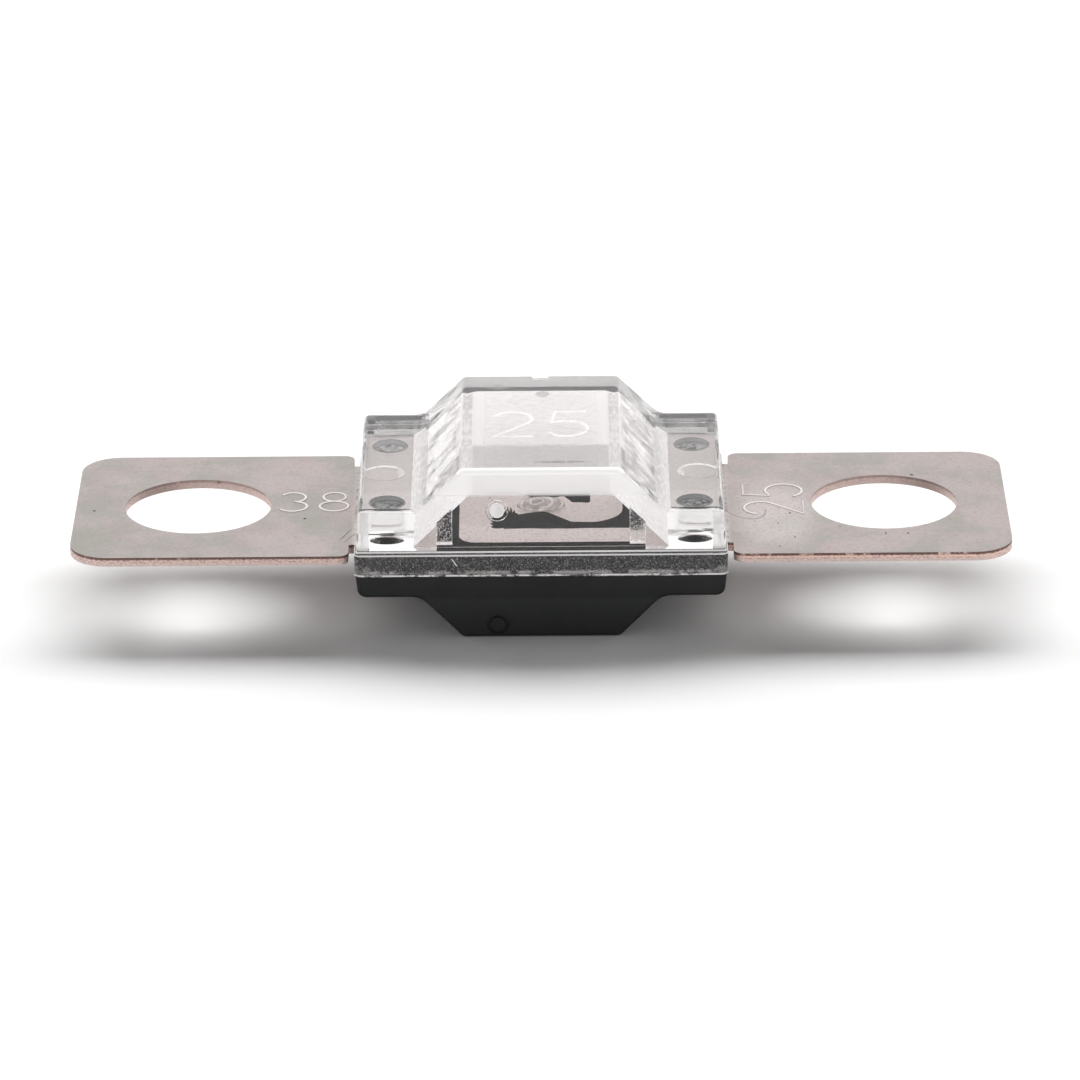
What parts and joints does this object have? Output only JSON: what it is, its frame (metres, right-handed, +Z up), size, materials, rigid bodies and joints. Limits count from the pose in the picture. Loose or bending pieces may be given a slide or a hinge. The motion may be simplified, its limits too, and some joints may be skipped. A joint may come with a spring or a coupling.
{
  "type": "bolt down strip fuse",
  "caption": "Flat metal strip fuse with round stud holes at both ends and a clear-topped moulded housing around its S-shaped element.",
  "frame": {"origin": "midway between the two stud holes, on the strip's underside", "axes": "+X along the strip, +Y across it towards the back, +Z up through the clear cover"},
  "size_m": [0.0406, 0.012, 0.0078],
  "materials": {
    "plated_copper": "dull tin plating over copper, bare copper on the sheared edges",
    "tin": "smooth solidified tin",
    "clear_plastic": "clear glossy moulded plastic",
    "black_plastic": "satin moulded plastic"
  },
  "bodies": {
    "root": {"fuse_strip": "plated_copper", "tin_spot": "tin", "clear_cover": "clear_plastic", "base_housing": "black_plastic"}
  },
  "joints": []
}
